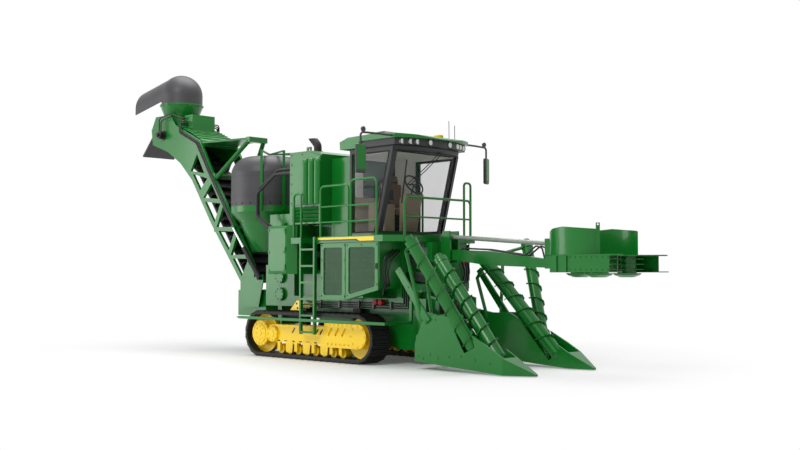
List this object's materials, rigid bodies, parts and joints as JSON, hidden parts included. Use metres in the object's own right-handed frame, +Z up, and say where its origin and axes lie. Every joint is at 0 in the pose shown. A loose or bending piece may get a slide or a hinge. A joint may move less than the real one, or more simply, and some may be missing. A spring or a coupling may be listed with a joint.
{
  "type": "sugarcane harvester",
  "caption": "Tracked sugarcane harvester with a topper boom, crop divider scrolls, glazed cab, extractor hood and a slewing billet elevator",
  "frame": {"origin": "middle of the machine's bounding box at ground level", "axes": "+X forward, +Y to the machine's left, +Z up"},
  "size_m": [13.38, 3.4648, 6.13],
  "materials": {
    "green_paint": "bright green machine paint",
    "yellow_paint": "yellow machine paint",
    "track_steel": "worn dark track steel",
    "dark_steel": "dark painted steel",
    "grey_plastic": "dark grey moulded plastic",
    "clear_glass": "clear cab glass",
    "lamp_plastic": "clear lamp lens over a dark body",
    "seat_fabric": "brown seat cloth",
    "console_plastic": "beige cab plastic",
    "rubber_hose": "black hydraulic hose",
    "chrome_rod": "chromed cylinder rod"
  },
  "bodies": {
    "machine": {"axle_beams": "dark_steel", "cab_console": "console_plastic", "cab_glass": "clear_glass", "cab_roof": "green_paint", "cab_shell": "green_paint", "chassis_rails": "green_paint", "chopper_box": "green_paint", "coolers": "dark_steel", "deck": "green_paint", "engine_block": "dark_steel", "engine_tower": "green_paint", "exhaust_stack": "dark_steel", "extractor_chamber": "green_paint", "extractor_hoses": "rubber_hose", "feed_tunnel": "green_paint", "grille_panels": "green_paint", "ladders": "green_paint", "mirrors": "grey_plastic", "operator_seat": "seat_fabric", "railings": "green_paint", "rear_tanks": "green_paint", "roof_lamps": "lamp_plastic", "roof_visor": "grey_plastic", "track_belt_left": "track_steel", "track_belt_right": "track_steel", "track_frames": "yellow_paint", "track_wheels": "yellow_paint"},
    "cab_door": {"cab_door": "green_paint", "cab_door_glass": "clear_glass"},
    "grille_door_right": {"grille_door_right": "green_paint"},
    "grille_door_left": {"grille_door_left": "green_paint"},
    "primary_hood": {"primary_hood": "grey_plastic"},
    "primary_fan": {"primary_fan": "dark_steel"},
    "slew_frame": {"slew_frame": "green_paint"},
    "elevator": {"elevator_frame": "green_paint", "elevator_conveyor": "dark_steel"},
    "lift_barrels": {"lift_barrels": "dark_steel"},
    "lift_rods": {"lift_rods": "chrome_rod"},
    "secondary_fan": {"secondary_fan": "dark_steel"},
    "secondary_hood": {"secondary_hood": "grey_plastic"},
    "bin_flap": {"bin_flap": "grey_plastic"},
    "topper_boom": {"topper_boom": "green_paint", "topper_hoses": "rubber_hose"},
    "topper_link": {"topper_link": "dark_steel"},
    "topper_head": {"topper_head": "green_paint"},
    "shredder_drum": {"shredder_drum": "green_paint"},
    "gatherer_right": {"gatherer_right": "green_paint"},
    "gatherer_left": {"gatherer_left": "green_paint"},
    "divider_right": {"divider_right": "green_paint"},
    "divider_left": {"divider_left": "green_paint"},
    "outer_scroll_right": {"outer_scroll_right": "green_paint"},
    "outer_scroll_left": {"outer_scroll_left": "green_paint"},
    "inner_scroll_right": {"inner_scroll_right": "green_paint"},
    "inner_scroll_left": {"inner_scroll_left": "green_paint"},
    "knockdown_roller": {"knockdown_roller": "dark_steel"},
    "butt_lifter": {"butt_lifter": "dark_steel"},
    "base_cutter_right": {"base_cutter_right": "dark_steel"},
    "base_cutter_left": {"base_cutter_left": "dark_steel"}
  },
  "joints": [
    {"name": "cab_door_hinge", "type": "hinge", "parent": "machine", "child": "cab_door", "pos_m": [1.81328, 0.8623, 2.31], "axis": [-0.2527, 0, -0.9676], "range_deg": [0, 70]},
    {"name": "grille_door_right_hinge", "type": "hinge", "parent": "machine", "child": "grille_door_right", "pos_m": [2.24, -1.17, 1.7], "axis": [0, 0, 1], "range_deg": [0, 100]},
    {"name": "grille_door_left_hinge", "type": "hinge", "parent": "machine", "child": "grille_door_left", "pos_m": [2.24, 1.17, 1.7], "axis": [0, 0, -1], "range_deg": [0, 100]},
    {"name": "primary_hood_turn", "type": "hinge", "parent": "machine", "child": "primary_hood", "pos_m": [-2.22, 0, 3], "axis": [0, 0, 1], "continuous": true},
    {"name": "primary_fan_spin", "type": "hinge", "parent": "machine", "child": "primary_fan", "pos_m": [-2.22, 0, 2.85], "axis": [0, 0, 1], "continuous": true},
    {"name": "elevator_slew", "type": "hinge", "parent": "machine", "child": "slew_frame", "pos_m": [-2.22, 0, 0.69], "axis": [0, 0, 1], "range_deg": [-85, 85]},
    {"name": "elevator_lift", "type": "hinge", "parent": "slew_frame", "child": "elevator", "pos_m": [-2.29, 0, 1.4], "axis": [0, -1, 0], "range_deg": [0, 15]},
    {"name": "lift_barrel_pivot", "type": "hinge", "parent": "slew_frame", "child": "lift_barrels", "pos_m": [-1.81, 0, 1.49], "axis": [0, -1, 0], "range_deg": [-0.5, 12.53]},
    {"name": "lift_rod_slide", "type": "slide", "parent": "lift_barrels", "child": "lift_rods", "axis": [-0.6423, 0, 0.7664], "range_m": [-0.003, 0.107]},
    {"name": "secondary_fan_spin", "type": "hinge", "parent": "elevator", "child": "secondary_fan", "pos_m": [-5.46, 0, 5.3], "axis": [0, 0, 1], "continuous": true},
    {"name": "secondary_hood_turn", "type": "hinge", "parent": "elevator", "child": "secondary_hood", "pos_m": [-5.46, 0, 5.5], "axis": [0, 0, 1], "continuous": true},
    {"name": "bin_flap_hinge", "type": "hinge", "parent": "elevator", "child": "bin_flap", "pos_m": [-5.905, 0, 4.815], "axis": [0, -1, 0], "range_deg": [-30, 25]},
    {"name": "topper_lift", "type": "hinge", "parent": "machine", "child": "topper_boom", "pos_m": [2.83, 0, 1.9], "axis": [0, -1, 0], "range_deg": [-10, 28]},
    {"name": "topper_link_pivot", "type": "hinge", "parent": "machine", "child": "topper_link", "pos_m": [2.83, 0, 2.22], "axis": [0, -1, 0], "range_deg": [-10, 28]},
    {"name": "topper_head_level", "type": "hinge", "parent": "topper_boom", "child": "topper_head", "pos_m": [5.01, 0, 1.74], "axis": [0, -1, 0], "range_deg": [-28, 10]},
    {"name": "shredder_spin", "type": "hinge", "parent": "topper_head", "child": "shredder_drum", "pos_m": [5.54, 0, 1.7], "axis": [0, 0, 1], "continuous": true},
    {"name": "gatherer_right_spin", "type": "hinge", "parent": "topper_head", "child": "gatherer_right", "pos_m": [6.14, -0.39, 1.7], "axis": [0, 0, 1], "continuous": true},
    {"name": "gatherer_left_spin", "type": "hinge", "parent": "topper_head", "child": "gatherer_left", "pos_m": [6.14, 0.39, 1.7], "axis": [0, 0, 1], "continuous": true},
    {"name": "divider_right_lift", "type": "hinge", "parent": "machine", "child": "divider_right", "pos_m": [2.73, -0.68, 0.9], "axis": [0, -1, 0], "range_deg": [0, 12]},
    {"name": "outer_scroll_right_spin", "type": "hinge", "parent": "divider_right", "child": "outer_scroll_right", "pos_m": [3.36, -1.49, 2.02], "axis": [0.4104, 0.2932, -0.8635], "continuous": true},
    {"name": "inner_scroll_right_spin", "type": "hinge", "parent": "divider_right", "child": "inner_scroll_right", "pos_m": [3.18, -0.593, 1.74], "axis": [0.6666, -0.0835, -0.7407], "continuous": true},
    {"name": "divider_left_lift", "type": "hinge", "parent": "machine", "child": "divider_left", "pos_m": [2.73, 0.68, 0.9], "axis": [0, -1, 0], "range_deg": [0, 12]},
    {"name": "outer_scroll_left_spin", "type": "hinge", "parent": "divider_left", "child": "outer_scroll_left", "pos_m": [3.36, 1.49, 2.02], "axis": [0.4104, -0.2932, -0.8635], "continuous": true},
    {"name": "inner_scroll_left_spin", "type": "hinge", "parent": "divider_left", "child": "inner_scroll_left", "pos_m": [3.18, 0.593, 1.74], "axis": [0.6666, 0.0835, -0.7407], "continuous": true},
    {"name": "knockdown_spin", "type": "hinge", "parent": "machine", "child": "knockdown_roller", "pos_m": [2.85, 0, 1.01], "axis": [0, 1, 0], "continuous": true},
    {"name": "butt_lifter_spin", "type": "hinge", "parent": "machine", "child": "butt_lifter", "pos_m": [1.99, 0, 0.56], "axis": [0, 1, 0], "continuous": true},
    {"name": "base_cutter_right_spin", "type": "hinge", "parent": "machine", "child": "base_cutter_right", "pos_m": [2.36, -0.24, 0.4], "axis": [0, 0, 1], "continuous": true},
    {"name": "base_cutter_left_spin", "type": "hinge", "parent": "machine", "child": "base_cutter_left", "pos_m": [2.36, 0.24, 0.4], "axis": [0, 0, 1], "continuous": true}
  ],
  "couplings": [
    {"joint": "lift_barrel_pivot", "follows": "elevator_lift", "ratio": 0.8018},
    {"joint": "lift_rod_slide", "follows": "elevator_lift", "m_per_rad": 0.39727},
    {"joint": "topper_link_pivot", "follows": "topper_lift", "ratio": 1},
    {"joint": "topper_head_level", "follows": "topper_lift", "ratio": -1},
    {"joint": "base_cutter_left_spin", "follows": "base_cutter_right_spin", "ratio": -1}
  ]
}
